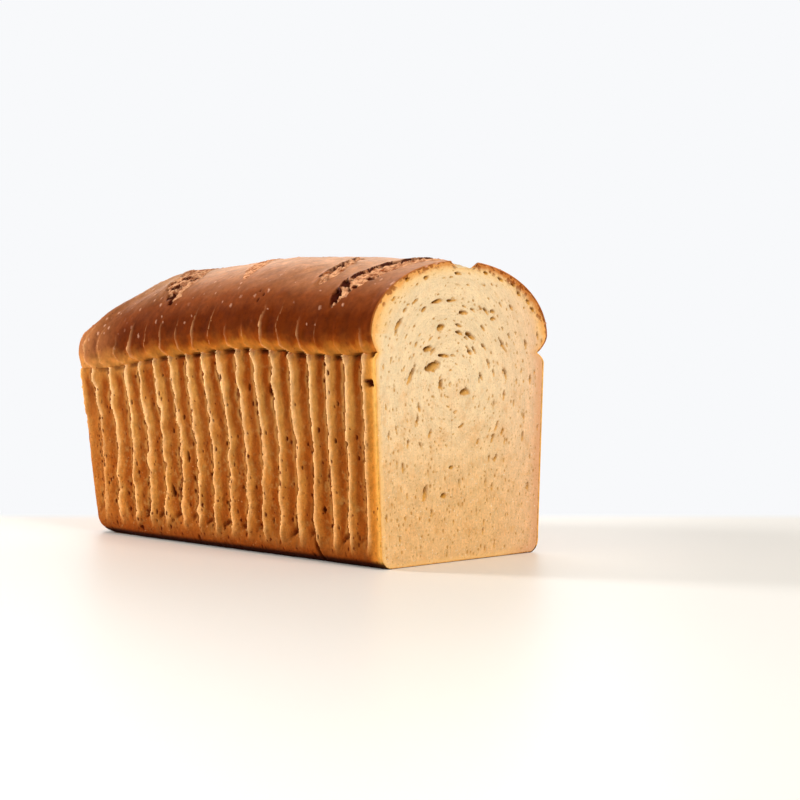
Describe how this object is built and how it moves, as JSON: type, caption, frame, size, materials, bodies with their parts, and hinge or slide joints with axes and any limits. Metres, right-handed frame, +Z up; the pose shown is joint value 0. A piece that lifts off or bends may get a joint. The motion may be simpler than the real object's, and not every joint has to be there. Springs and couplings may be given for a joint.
{
  "type": "tin loaf",
  "caption": "Tin loaf of bread with a domed, slashed crown over ribbed straight walls, sliced open at one end.",
  "frame": {"origin": "middle of the loaf's bounding box, at the height of its base", "axes": "+X along the loaf towards the cut face, -Y towards the long wall that shows beside the cut, +Z up"},
  "size_m": [0.2462, 0.1184, 0.1456],
  "materials": {
    "crust": "baked bread crust: dark brown and faintly glossy on the crown, golden and matt on the ribbed walls",
    "crumb": "open bread crumb at the cut face: cream, matt, full of small bubbles"
  },
  "bodies": {
    "root": {"loaf": "crust"}
  },
  "joints": []
}
